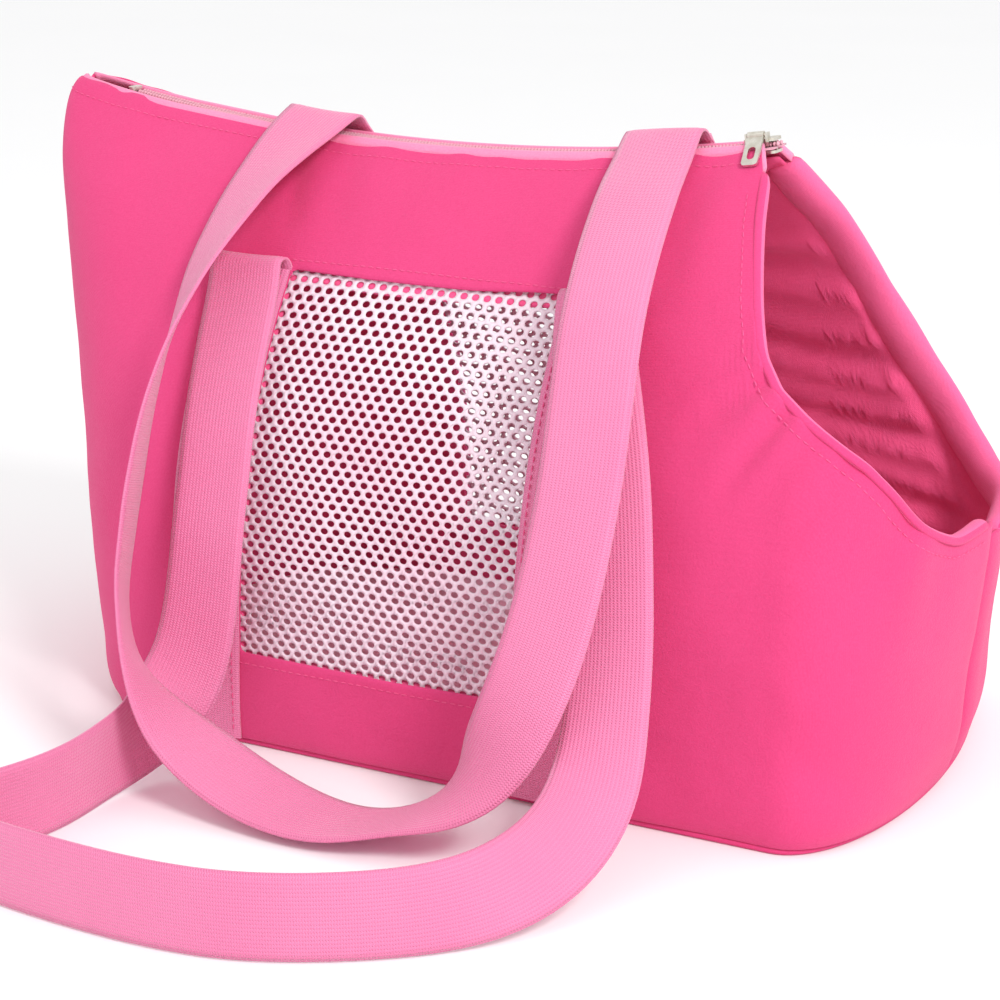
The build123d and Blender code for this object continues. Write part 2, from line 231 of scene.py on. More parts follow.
def belongs(made, body, slot, *nodes):
    """Ties a finished piece to its body and the CAD nodes it stands for; slot is not used."""
    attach(made, body)
    if nodes:
        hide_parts(*nodes)
    print(f"{made.name}: {len(made.data.polygons)} faces")
    return made


# %% [markdown]
# ## Finishes
# Cloth gets its look from three scales: slow colour drift, a weave you can just make out,
# and fuzz that catches light at grazing angles. Shader maths reads best as ordinary
# expressions, so a small class wraps a socket and lets Python's operators add the nodes.

# %% Shader maths as expressions
class Wire:
    """A shader socket that adds a Math node for each operator."""

    def __init__(self, tree, socket):
        self.tree, self.socket = tree, socket

    def node(self, kind, settings=None, **inputs):
        made = self.tree.nodes.new(kind)
        for key, value in (settings or {}).items():
            setattr(made, key, value)
        for key, value in inputs.items():
            numbered = key.startswith("in")
            target = made.inputs[int(key[2:]) if numbered else key.replace("_", " ")]
            if isinstance(value, Wire):
                self.tree.links.new(value.socket, target)
            else:
                target.default_value = value
        return made

    def out(self, made, name=0):
        return Wire(self.tree, made.outputs[name])

    def math(self, operation, a, b=0.0):
        return self.out(self.node("ShaderNodeMath", {"operation": operation}, in0=a, in1=b))

    def __add__(self, other): return self.math("ADD", self, other)
    def __radd__(self, other): return self.math("ADD", other, self)
    def __sub__(self, other): return self.math("SUBTRACT", self, other)
    def __rsub__(self, other): return self.math("SUBTRACT", other, self)
    def __mul__(self, other): return self.math("MULTIPLY", self, other)
    def __rmul__(self, other): return self.math("MULTIPLY", other, self)
    def sine(self): return self.math("SINE", self)


class Finish:
    """A material with its Principled shader and the patterns that feed it."""

    def __init__(self, name, base=(1, 1, 1), roughness=0.8, **sockets):
        self.made = bpy.data.materials.new(name)
        self.made.use_nodes = True
        self.tree = self.made.node_tree
        self.shader = self.tree.nodes["Principled BSDF"]
        self.shader.inputs["Base Color"].default_value = (*base, 1)
        self.shader.inputs["Roughness"].default_value = roughness
        for key, value in sockets.items():
            self.shader.inputs[key.replace("_", " ")].default_value = value
        self.wire = Wire(self.tree, None)
        place = self.wire.node("ShaderNodeTexCoord")
        self.object = self.wire.out(place, "Object")
        self.uv = self.wire.out(place, "UV")

    def noise(self, scale, detail=3.0, vector=None, stretch=None):
        vector = vector or self.object
        if stretch:
            turned = self.wire.node("ShaderNodeMapping", None, Vector=vector, Scale=stretch)
            vector = self.wire.out(turned)
        made = self.wire.node("ShaderNodeTexNoise", None, Vector=vector, Scale=scale, Detail=detail)
        return self.wire.out(made, "Fac" if "Fac" in made.outputs else "Factor")

    def split(self, vector):
        made = self.wire.node("ShaderNodeSeparateXYZ", None, Vector=vector)
        return [self.wire.out(made, k) for k in range(3)]

    def between(self, mask, first, second):
        """A colour that goes from first to second as mask goes from 0 to 1."""
        made = self.wire.node("ShaderNodeMix", {"data_type": "RGBA"})
        socket = [s for s in made.inputs if s.type == "RGBA"]
        for target, value in zip(socket, (first, second)):
            if isinstance(value, Wire):
                self.tree.links.new(value.socket, target)
            else:
                target.default_value = (*value, 1)
        self.tree.links.new(mask.socket, made.inputs[0])
        return Wire(self.tree, [s for s in made.outputs if s.type == "RGBA"][0])

    def ramp(self, value, low, high):
        made = self.wire.node("ShaderNodeMapRange", None, Value=value, From_Min=low, From_Max=high)
        return self.wire.out(made)

    def feed(self, socket, value):
        self.tree.links.new(value.socket, self.shader.inputs[socket])

    def bump(self, height, distance, strength=1.0):
        made = self.wire.node("ShaderNodeBump", None, Height=height, Distance=distance,
                              Strength=strength)
        self.feed("Normal", self.wire.out(made))


def cloth(name, colour, deep, weave=0.55 * MM, fuzz=0.25):
    """Brushed plain-weave cloth: fine crossed threads under a soft, uneven pile."""
    made = Finish(name, colour, 0.86, Sheen_Weight=fuzz, Sheen_Roughness=0.45)
    made.shader.inputs["Sheen Tint"].default_value = (*[min(1, 0.5 + c) for c in colour], 1)
    made.shader.inputs["Specular IOR Level"].default_value = 0.25
    x, y, z = made.split(made.object)
    turn = 2 * math.pi / weave
    threads = (x * turn).sine() * (z * turn).sine() + (y * turn).sine() * 0.5
    drift = made.ramp(made.noise(9, 4), 0.3, 0.75)
    grain = made.ramp(made.noise(1400, 2), 0.3, 0.7)
    made.feed("Base Color", made.between(drift * 0.5 + grain * 0.35, colour, deep))
    made.feed("Roughness", 0.8 + grain * 0.12)
    made.bump(threads * 0.35 + grain * 0.8 + made.noise(220, 3) * 1.6, 0.25 * MM, 0.55)
    return made.made


# %% The cloths, webbing, knit, tape and metal
PINK, DEEP_PINK = (0.735, 0.064, 0.222), (0.66, 0.042, 0.168)
shell_cloth = cloth("shell_cloth", PINK, DEEP_PINK)
lining_cloth = cloth("lining_cloth", (0.92, 0.12, 0.30), (0.84, 0.07, 0.22), 0.8 * MM, 0.15)
facing_cloth = cloth("facing_cloth", (0.90, 0.15, 0.34), (0.86, 0.10, 0.28), 0.8 * MM, 0.2)
hem_cloth = cloth("hem_cloth", (0.92, 0.30, 0.48), (0.86, 0.18, 0.36), 0.8 * MM, 0.3)
cushion_cloth = cloth("cushion_cloth", (0.86, 0.45, 0.58), (0.76, 0.33, 0.47), 1.6 * MM, 0.6)


def webbing_finish():
    """Flat woven webbing: ribs along its length, crossed by a finer beat of the weft."""
    made = Finish("webbing_finish", (0.86, 0.24, 0.45), 0.62, Sheen_Weight=0.35, Sheen_Roughness=0.35)
    across, along, _ = made.split(made.uv)
    ribs = (across * (2 * math.pi / (1.45 * MM))).sine()
    weft = (along * (2 * math.pi / (0.95 * MM)) + ribs * 1.2).sine()
    drift = made.ramp(made.noise(14, 3), 0.3, 0.7)
    threads = ribs * 0.5 + weft * 0.35 + 0.5
    tone = made.between(drift * 0.45 + threads * 0.25, (0.81, 0.230, 0.42), (0.75, 0.160, 0.34))
    made.feed("Base Color", tone)
    made.feed("Roughness", 0.52 + threads * 0.16)
    made.bump(ribs * 0.6 + weft * 0.7, 0.16 * MM, 0.8)
    return made.made


def knit_finish():
    """White polyester knit: bright threads with a slow drift of tone and a fine bump."""
    made = Finish("knit_finish", (0.80, 0.68, 0.75), 0.55, Sheen_Weight=0.2)
    drift = made.ramp(made.noise(16, 2), 0.35, 0.7)
    made.feed("Base Color", made.between(drift, (0.82, 0.72, 0.79), (0.80, 0.58, 0.68)))
    made.bump(made.noise(1800, 2), 0.2 * MM, 0.5)
    return made.made


def metal_finish():
    """Die-cast zinc with a satin plating, duller where fingers and cloth have rubbed it."""
    made = Finish("slider_metal", (0.70, 0.66, 0.58), 0.3, Metallic=1.0)
    rub = made.ramp(made.noise(260, 4), 0.35, 0.7)
    made.feed("Base Color", made.between(rub, (0.76, 0.73, 0.66), (0.58, 0.54, 0.46)))
    made.feed("Roughness", 0.24 + rub * 0.22)
    made.bump(made.noise(900, 2), 0.05 * MM, 0.4)
    return made.made


webbing_cloth = webbing_finish()
knit_thread = knit_finish()
slider_metal = metal_finish()
zip_cloth = cloth("zip_cloth", (0.72, 0.36, 0.44), (0.60, 0.27, 0.35), 0.7 * MM, 0.2)
coil_thread = cloth("coil_thread", (0.80, 0.42, 0.50), (0.66, 0.30, 0.38), 0.5 * MM, 0.1)
stitch_thread = cloth("stitch_thread", (0.86, 0.115, 0.30), (0.78, 0.08, 0.24), 0.4 * MM, 0.2)
print("finishes", len(bpy.data.materials))

# %% [markdown]
# ## Side panels
# Each side panel is one piece of cloth that wraps half of both round ends. A grid follows
# the surface, the window is left out of it, and the rows are squeezed down where the head
# opening cuts the panel short, so that its edge stays smooth. Slow folds are added in code,
# because the padding holds most of the shape, and Solidify turns the sheet into cloth.


# %% Folds of the outer cloth
def swell(value, middle, width):
    return math.exp(-((value - middle) / width) ** 2)


def crease(x, z, start, end, width):
    """A soft dent along a line across the side, deepest at its start; x and z in metres."""
    (x0, z0), (x1, z1) = [(a * MM, b * MM) for a, b in (start, end)]
    run = math.hypot(x1 - x0, z1 - z0)
    along = ((x - x0) * (x1 - x0) + (z - z0) * (z1 - z0)) / run
    off = ((x - x0) * (z1 - z0) - (z - z0) * (x1 - x0)) / run
    if along < -3 * width or along > run:
        return 0.0
    depth = math.cos(max(along, 0) / run * QUARTER)
    beside = [0.45 * math.exp(-((off + way * 2.2 * width) / (1.6 * width)) ** 2) for way in (-1, 1)]
    return depth * (math.exp(-(off / width) ** 2) - beside[0] - beside[1])


# Dents that run back from the head opening's tight bend, and drag lines of the handles.
DENTS = [((144, 171), (112, 150), 3.2, 3.0), ((141, 179), (118, 172), 2.4, 2.0),
         ((152, 160), (128, 128), 3.0, 2.2), ((178, 146), (158, 116), 3.6, 1.4),
         ((196, 122), (176, 86), 4.0, 1.6), ((204, 108), (200, 60), 3.4, 1.6),
         ((-86, 232), (-72, 196), 3.4, 2.0), ((-60, 230), (-52, 200), 4.5, 0.9),
         ((70, 232), (78, 150), 5.0, 1.2), ((96, 236), (92, 190), 5.0, 0.9),
         ((-150, 226), (-128, 150), 7.0, 1.3), ((188, 20), (150, 62), 7.0, 1.2),
         ((60, 16), (100, 44), 6.0, 1.0), ((-160, 16), (-120, 50), 7.0, 1.0)]


def panel_folds(point, rise, top, side):
    """How far the padded cloth stands out of its pattern here."""
    x, y, z = point
    spot = Vector((x, side * 0.3 + y * 0.5, z))
    lift = 1.7 * noise.noise(spot * 12) + 0.9 * noise.noise(spot * 34) + 0.28 * noise.noise(spot * 90)
    lift += 1.6 * swell(z, 0.016, 0.014) - 1.5 * swell(z, BASE_TOP, 0.003)
    for start, end, width, depth in DENTS:
        lift -= depth * crease(x, z, start, end, width * MM)
    if x > FRONT_X - FRONT_ROUND or x < REAR_X + 0.03:
        lift -= 2.0 * swell(abs(y), 0, 0.0035) - 1.0 * swell(abs(y), 0.008, 0.006)
    from_hem = (top - rise) * RIDGE_LOW
    pucker = math.sin(x / (3.4 * MM) + 3 * noise.noise(spot * 30)) * math.exp(-from_hem / 0.010)
    lift += 0.35 * pucker
    held = max(swell(x, WINDOW_X[0] - STRAP_WIDTH / 2, 0.017),
               swell(x, WINDOW_X[1] + STRAP_WIDTH / 2, 0.017))
    held = min(1.0, 1.5 * held) / (1 + math.exp((z - 0.192) / 0.003))
    return lift * (1 - held) * MM - 0.2 * MM * held


def cloth_grid(name, rim, side, inset, folds, finish, top_short=0.0):
    """A sheet of cloth with its window left out, how far up each column goes, and its cut size."""
    tops = [column_top(column, rim) - top_short for column in COLUMNS]
    points, pattern, faces, index = [], [], [], {}
    for i, column in enumerate(COLUMNS):
        for j, row in enumerate(ROWS):
            rise = row / HEM_RISE * tops[i]
            point = bag_point(column, rise, inset, side)
            middle = Vector((min(max(point.x, REAR_X + 0.05), FRONT_X - 0.05), 0, min(point.z, 0.09)))
            away = (point - middle).normalized()
            lift = folds(point, rise, tops[i], side)
            if abs(point.y) < 1e-4:
                away.y = 0
            index[i, j] = len(points)
            pattern.append(point)
            points.append(point + away * lift)
    in_window = lambda value, span: span[0] - 1e-6 < value < span[1] + 1e-6
    rise_window = row_stops[1:3]
    for i in range(len(COLUMNS) - 1):
        for j in range(len(ROWS) - 1):
            centre_x = (points[index[i, j]].x + points[index[i + 1, j]].x) / 2
            both = COLUMNS[i][0] == COLUMNS[i + 1][0] == "side"
            middle_row = (ROWS[j] + ROWS[j + 1]) / 2
            if both and in_window(centre_x, WINDOW_X) and in_window(middle_row, rise_window):
                continue
            loop = [index[i, j], index[i + 1, j], index[i + 1, j + 1], index[i, j + 1]]
            faces.append(loop if side < 0 else loop[::-1])
    return piece(name, points, faces, finish), tops, cut_size(pattern, faces)


def cut_size(pattern, faces):
    """Length, height and area of the cloth as cut, before any fold: its surface laid out flat."""
    across, up = len(COLUMNS), len(ROWS)
    spot = lambda i, j: pattern[i * up + j]
    long = max(sum((spot(i + 1, j) - spot(i, j)).length for i in range(across - 1)) for j in range(up))
    high = max(sum((spot(i, j + 1) - spot(i, j)).length for j in range(up - 1)) for i in range(across))
    area = 0.0
    for a, b, c, d in faces:
        a, b, c, d = pattern[a], pattern[b], pattern[c], pattern[d]
        area += ((b - a).cross(c - a).length + (c - a).cross(d - a).length) / 2
    return round(long, 3), round(high, 3), round(area, 4)


SIDES = (("near", -1, NEAR_RIM), ("far", 1, FAR_RIM))
edges = {}
for label, side, rim in SIDES:
    panel, tops, (long, high, area) = cloth_grid(
        f"{label}_panel_cloth", rim, side, 0.0, panel_folds, shell_cloth)
    edges[label] = tops
    print(f"{label} panel is cut {long * 1000:.0f} x {high * 1000:.0f} mm, {area:.4f} square metres")
    modifier(panel, "SOLIDIFY", thickness=PANEL_THICK, offset=-1, use_even_offset=True)
    modifier(panel, "SUBSURF", levels=1, render_levels=1)
    plain(panel)
    belongs(panel, "bag", "shell_fabric", f"{label}_side_panel")

# %% [markdown]
# ## Lining
# The lining hangs inside a looser fit, so it gathers in soft level folds where it was eased
# onto the head opening. The folds only ever go inwards, which keeps it clear of the panel.


# %% Gathered lining
def lining_folds(point, rise, top, side):
    x, y, z = point
    spot = Vector((x * 0.4, y * 0.2 + side, z))
    wander = 2.2 * noise.noise(Vector((x * 0.7, side, z)) * 12)
    wave = math.sin((z + 0.05 * (x - 0.12)) / (5.0 * MM) + 1.5 * wander)
    puff = 1 - abs(wave) ** 0.8 * (1 if wave < 0 else 0.55)
    front = 1 / (1 + math.exp(-(x - 0.070) / 0.016))
    below = (top - rise) * RIDGE_LOW
    near_edge = min(1.0, max(0.0, below - 0.022) / 0.012) * (0.4 + 0.6 * math.exp(-below / 0.09))
    drape = 0.8 * (0.5 + 0.5 * noise.noise(spot * 24)) * min(1.0, below / 0.03)
    return -(drape + 6.0 * front * puff * near_edge) * MM


for label, side, rim in SIDES:
    lining, _, (long, high, area) = cloth_grid(
        f"{label}_lining_cloth", rim, side, LINING_INSET, lining_folds, lining_cloth, top_short=0.012)
    print(f"{label} lining is cut {long * 1000:.0f} x {high * 1000:.0f} mm, {area:.4f} square metres")
    modifier(lining, "SOLIDIFY", thickness=LINING_THICK, offset=-1)
    plain(lining)
    belongs(lining, "bag", "lining_fabric", f"{label}_lining")


# %% [markdown]
# ## Hems and facings
# The head opening is finished with a turned facing in a lighter cloth, and the hems beside
# the zip are rolled. Both are swept along the edge that the panel really has, so they
# close the gap between panel and lining.

# %% Swept hems
def swept(name, path, across, ring, finish):
    """A closed band: ring is a loop of (across, out) offsets, path and across give each place."""
    points = []
    for middle, (wide, out) in zip(path, across):
        points += [middle + wide * a + out * b for a, b in ring]
    return face_outwards(piece(name, points, tube_faces(len(path), len(ring)), finish))


def rolled(name, path, ways, rings, inside, outside):
    """A turned edge whose ring changes along the path; its first faces take the outside cloth."""
    points, count = [], len(rings[0])
    for middle, (down, out), ring in zip(path, ways, rings):
        points += [middle + down * a * MM + out * b * MM for a, b in ring]
    faces = tube_faces(len(path), count)
    shown = len(faces) - 2
    made = piece(name, points, faces, inside)
    made.data.materials.append(outside)
    for k, face in enumerate(made.data.polygons):
        face.material_index = 1 if k < shown and k % count in (0, 1, count - 1) else 0
    face_outwards(made)
    modifier(made, "SUBSURF", levels=1, render_levels=1)
    return plain(made)


def oval(wide, high, count=10):
    return [(wide * math.cos(2 * math.pi * k / count), high * math.sin(2 * math.pi * k / count))
            for k in range(count)]


def edge_frames(label, side, first, last, inset, lower=0.0):
    """Points along a panel's top edge, with the ways down the cloth and out of the bag."""
    path, ways = [], []
    for i in range(first, last):
        top = edges[label][i] - lower
        here = bag_point(COLUMNS[i], top, inset, side)
        below = bag_point(COLUMNS[i], top - 0.02, inset, side)
        down = (below - here).normalized()
        inner = bag_point(COLUMNS[i], top, inset + MM, side)
        out = (here - inner)
        out = (out - down * out.dot(down)).normalized() if out.length > 1e-9 else Vector((0, side, 0))
        path.append(here)
        ways.append((down, out))
    return path, ways


def square_to(path, ways):
    """The same ways, turned square to the path and to each other."""
    turned = []
    for k, (down, out) in enumerate(ways):
        travel = (path[min(k + 1, len(path) - 1)] - path[max(k - 1, 0)]).normalized()
        across = travel.cross(out).normalized()
        turned.append((across if across.dot(down) > 0 else -across, across.cross(travel).normalized()))
        if turned[-1][1].dot(out) < 0:
            turned[-1] = (turned[-1][0], -turned[-1][1])
    return turned


zip_column = COLUMNS.index(("side", ZIP_X[1]))
for label, side, rim in SIDES:
    path, ways = edge_frames(label, side, 1, zip_column + 1, 1.2 * MM)
    hem = swept(f"{label}_zip_hem", path, ways, oval(2.6 * MM, 1.7 * MM), hem_cloth)
    belongs(hem, "bag", "binding_tape")
    path, ways = edge_frames(label, side, zip_column, len(COLUMNS) - 1, 0.0)
    rings = []
    for k in range(len(path)):
        puff = 0.5 + 0.5 * math.sin(k * 0.55 + 2.4 * noise.noise(path[k] * 20))
        rings.append([(0.6, 0.8), (-1.0, 0.9), (-2.4, -0.2), (-3.0, -2.2), (-2.2, -4.6 - puff),
                      (1.0, -6.4 - 1.4 * puff), (5.0, -6.9 - 1.7 * puff), (9.5, -6.4 - 1.6 * puff),
                      (13.0 + puff, -4.8 - puff), (13.5, -3.4), (9.0, -2.4), (3.0, -2.3),
                      (0.8, -2.1), (0.8, -0.2)])
    roll = rolled(f"{label}_opening_roll", path, square_to(path, ways), rings,
                  facing_cloth, shell_cloth)
    belongs(roll, "bag", "binding_tape", f"{label}_opening_facing")

# %% [markdown]
# ## Mesh windows
# The knit is a staggered field of round holes. Cutting a thousand holes with booleans is
# slow, so each hole gets its own cell: twelve faces between a six-cornered border and a round
# eye. The cells share their edges. The field is drawn flat, then laid on the bag's surface.

# %% Knit with real holes
PITCH_X, PITCH_Z = 5.1 * MM, 6.4 * MM
EYE_X, EYE_Z = 1.72 * MM, 1.22 * MM


def knit_window(label, side):
    half_x, half_z = PITCH_X / 2, PITCH_Z / 4
    border = [(0, 1.35), (0.5, 1.02), (1, 0.68), (1, 0), (1, -0.68), (0.5, -1.02),
              (0, -1.35), (-0.5, -1.02), (-1, -0.68), (-1, 0), (-1, 0.68), (-0.5, 1.02)]
    points, index, faces = [], {}, []

    def corner(x, z):
        key = (round(x / MM, 2), round(z / MM, 2))
        if key not in index:
            index[key] = len(points)
            points.append((x, z))
        return index[key]

    rows = int((WINDOW_Z[1] - WINDOW_Z[0] + 8 * MM) / (PITCH_Z / 2))
    across = int((WINDOW_X[1] - WINDOW_X[0] + 10 * MM) / PITCH_X)
    for row in range(rows):
        z = WINDOW_Z[0] - 4 * MM + row * PITCH_Z / 2
        for place in range(across):
            x = WINDOW_X[0] - 5 * MM + (place + 0.5 * (row % 2)) * PITCH_X
            outer = [corner(x + a * half_x, z + b * half_z * 1.48) for a, b in border]
            inner = []
            for a, b in border:
                angle = math.atan2(b, a)
                inner.append(len(points))
                points.append((x + EYE_X * math.cos(angle), z + EYE_Z * math.sin(angle)))
            for k in range(len(border)):
                n = (k + 1) % len(border)
                loop = [outer[k], inner[k], inner[n], outer[n]]
                faces.append(loop if side < 0 else loop[::-1])
    laid = []
    for x, z in points:
        sag = 1.0 * MM * noise.noise(Vector((x, side, z)) * 25)
        laid.append(on_side(x, z, KNIT_INSET + abs(sag), side))
    made = piece(f"{label}_knit_window", laid, faces, knit_thread)
    modifier(made, "SOLIDIFY", thickness=KNIT_THICK, offset=-1)
    plain(made)
    return belongs(made, "bag", "window_mesh", f"{label}_mesh_window")


for label, side, _ in SIDES:
    knit_window(label, side)

# %% [markdown]
# ## Webbing
# A strap is a flat band that may bend and twist but never stretches across. Each strap has
# a line of given points with the way its width points there. A smooth B-spline runs
# past them, and the band is built ring by ring, with its length and width as its UV map.


# %% A band along a smooth route
def b_spline(values, count):
    """A clamped cubic B-spline through the neighbourhood of values, sampled count times."""
    control = np.array([values[0]] * 2 + list(values) + [values[-1]] * 2, float)
    out = []
    spans = len(control) - 3
    for k in range(count):
        t = k / (count - 1) * spans
        s = min(int(t), spans - 1)
        t -= s
        weights = np.array([(1 - t) ** 3, 3 * t ** 3 - 6 * t ** 2 + 4,
                            -3 * t ** 3 + 3 * t ** 2 + 3 * t + 1, t ** 3]) / 6
        out.append(Vector(weights @ control[s:s + 4]))
    return out


def webbing(name, route, step=3.5 * MM):
    """A webbing band along a route of (centre, width direction), in millimetres."""
    rough = sum(math.dist(a[0], b[0]) for a, b in zip(route, route[1:])) * MM
    count = max(8, int(rough / step))
    middle = b_spline([[c * MM for c in centre] for centre, _ in route], count)
    widths = b_spline([Vector(w).normalized() for _, w in route], count)
    lanes = 10
    points, faces, uvs = [], [], []
    travelled = 0.0
    for k in range(count):
        travel = (middle[min(k + 1, count - 1)] - middle[max(k - 1, 0)]).normalized()
        wide = (widths[k] - travel * widths[k].dot(travel)).normalized()
        flat = travel.cross(wide)
        if k:
            travelled += (middle[k] - middle[k - 1]).length
        wave = 0.35 * MM * noise.noise(middle[k] * 40)
        for face_side in (1, -1):
            lane_order = range(lanes + 1) if face_side > 0 else range(lanes, -1, -1)
            for lane in lane_order:
                share = 2 * lane / lanes - 1
                thin = STRAP_THICK / 2 * (0.62 if abs(share) > 0.99 else 1.0)
                cup = 0.5 * MM * share * share
                points.append(middle[k] + wide * (share * STRAP_WIDTH / 2)
                              + flat * (face_side * thin + cup + wave))
                uvs.append((share * STRAP_WIDTH / 2, travelled))
    ring = 2 * (lanes + 1)
    for k in range(count - 1):
        for m in range(ring):
            n = (m + 1) % ring
            faces.append([k * ring + m, k * ring + n, (k + 1) * ring + n, (k + 1) * ring + m])
    faces += [list(range(ring)), [(count - 1) * ring + m for m in range(ring - 1, -1, -1)]]
    made = face_outwards(piece(name, points, faces, webbing_cloth))
    layer = made.data.uv_layers.new(name="UVMap")
    for loop in made.data.loops:
        layer.data[loop.index].uv = uvs[loop.vertex_index]
    print(f"{name}: {travelled * 1000:.0f} mm of webbing")
    return made


def sewn_route(x, side):
    """Middle line of the webbing where it is sewn up the side, in millimetres."""
    return [(tuple(on_side(x, z, -1.1 * MM, side) / MM), (1, 0, 0))
            for z in [BASE_TOP + 0.5 * MM] + spaced(12 * MM, SEWN_TOP, 16 * MM)]


STRAP_X = {"rear": WINDOW_X[0] - STRAP_WIDTH / 2, "front": WINDOW_X[1] + STRAP_WIDTH / 2}
for place, x in STRAP_X.items():
    near = webbing(f"near_{place}_sewn_webbing", sewn_route(x, -1))
    belongs(near, "bag", "webbing", f"near_{place}_strap")
    route = sewn_route(x, 1)
    tilt = (x - RIDGE_X) / RIDGE_RADIUS
    for z, lift in ((196, 2.4), (208, 3.0), (220, 3.2), (230, 3.0)):
        spot = on_side(x, z * MM, 0, 1) / MM
        route.append(((spot.x, spot.y + 0.6 * lift, spot.z + 0.75 * lift), (1, 0, tilt)))
    top = ridge_z(x) / MM
    route += [((x / MM, 10.5, top - 5.0), (1, 0, tilt)), ((x / MM, 7.0, top - 1.4), (1, 0, tilt))]
    belongs(webbing(f"far_{place}_sewn_webbing", route), "bag", "webbing",
            f"far_{place}_strap", f"far_{place}_riser")

# %% [markdown]
# ## Handles
# Each handle is one length of webbing, built as one band. The near handle folds over its
# sewn top, and the far one comes over the ridge.

# %% Free loops of the two handles
near_loop = [
    ((-82, -53.2, 184), (1, 0, 0)), ((-82, -53.6, 189), (1, 0, 0)), ((-82, -58, 192.5), (1, 0, 0)),
    ((-82, -62.5, 190), (1, 0, 0)),
    ((-81, -64, 182), (1, 0, 0)), ((-77, -88, 148), (1, 0, 0)), ((-72, -108, 104), (1, 0, 0)),
    ((-72, -116, 68), (1, 0, -0.3)), ((-74, -122, 40), (1, 0, -0.5)), ((-80, -143, 20), (0.2, 0, -1)),
    ((-83, -170, 17.2), (0, 0, -1)), ((-82, -198, 16.8), (0, 0, -1)), ((-90, -221, 16.8), (0, 0, -1)),
    ((-99, -240, 16.8), (0, 0, -1)), ((-84, -256, 16.8), (0, 0, -1)), ((-52, -260, 16.8), (0, 0, -1)),
    ((-12, -261, 16.8), (0, 0, -1)), ((18, -259, 16.8), (0, 0, -1)), ((42, -251, 16.8), (0, 0, -1)),
    ((66, -238, 16.8), (0, 0, -1)), ((88, -221, 17), (0.1, 0, -1)), ((103, -202, 19), (0.4, 0, -1)),
    ((112, -178, 24), (0.8, 0, -0.8)), ((113, -152, 34), (1, 0, -0.4)), ((109, -134, 52), (1, 0, 0)),
    ((106, -123, 75), (1, 0, 0)), ((103, -117, 102), (1, 0, 0)), ((95, -103, 140), (1, 0, 0)),
    ((80, -83, 167), (1, 0, 0)), ((71, -64, 182), (1, 0, 0)),
    ((71, -62.5, 190), (1, 0, 0)), ((71, -58, 192.5), (1, 0, 0)), ((71, -53.6, 189), (1, 0, 0)),
    ((71, -53.2, 184), (1, 0, 0))]
far_loop = [
    ((-82, 9, 236.6), (1, 0, -0.08)), ((-81.5, 5, 240.0), (1, 0, -0.08)),
    ((-80.5, 0, 242.0), (1, 0, -0.08)), ((-80, -5, 241.2), (1, 0, -0.08)),
    ((-82, -17, 235.6), (1, 0, -0.02)), ((-85, -37, 225), (1, -0.1, 0.2)),
    ((-87, -54, 214), (1, -0.3, 0.3)), ((-89, -72, 200), (1, -0.6, 0.3)),
    ((-92, -91, 180), (0.8, -1, 0.2)), ((-96, -105, 155), (0.5, -1, 0.1)),
    ((-98, -117, 124), (0.4, -1, 0)), ((-98, -126, 97), (0.4, -1, 0)),
    ((-96, -137, 71), (0.5, -1, 0)), ((-84, -150, 51), (0.8, -1, -0.1)),
    ((-63, -155, 29), (0.5, -1, -0.4)), ((-32, -158, 13), (0, -1, -0.3)),
    ((0, -160, 6), (0, -1, -0.1)), ((23, -158, 7), (0, -1, 0.05)),
    ((44, -153, 13), (0.3, -1, 0.1)), ((60, -152, 24), (0.6, -0.8, -0.1)),
    ((71, -150, 38), (0.9, -0.4, -0.3)), ((80, -148, 56), (1, -0.1, -0.2)),
    ((87, -142, 78), (1, 0, -0.1)), ((91, -135, 102), (1, 0, 0)),
    ((93, -126, 130), (1, 0, 0)), ((92, -116, 152), (1, 0, 0)),
    ((88, -100, 178), (1, 0, 0)), ((85, -85, 197), (1, 0, 0)),
    ((82, -64, 215), (1, 0, 0)), ((77, -38, 228.5), (1, 0, 0)),
    ((74, -17, 237.6), (1, 0, 0.06)), ((72, -5, 243.6), (1, 0, 0.1)),
    ((71.5, 0, 244.4), (1, 0, 0.1)), ((71, 5, 242.6), (1, 0, 0.1)),
    ((71, 9, 239.6), (1, 0, 0.1))]
for name, route, fold in (("near", near_loop, (-0.0555, -0.0625)), ("far", far_loop, (0.004, -0.006))):
    handle = webbing(f"{name}_handle_webbing", route)
    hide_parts(f"{name}_handle_loop")
    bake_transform(handle)

# %% [markdown]
# ## Zip coil and stitches
# Teeth and stitches repeat along a line hundreds of times, which is what Geometry Nodes are
# for. One tree serves both: it turns a drawn path into a curve, cuts it at an even pitch and
# puts an item at each cut, with one axis along the path and another out of the cloth.


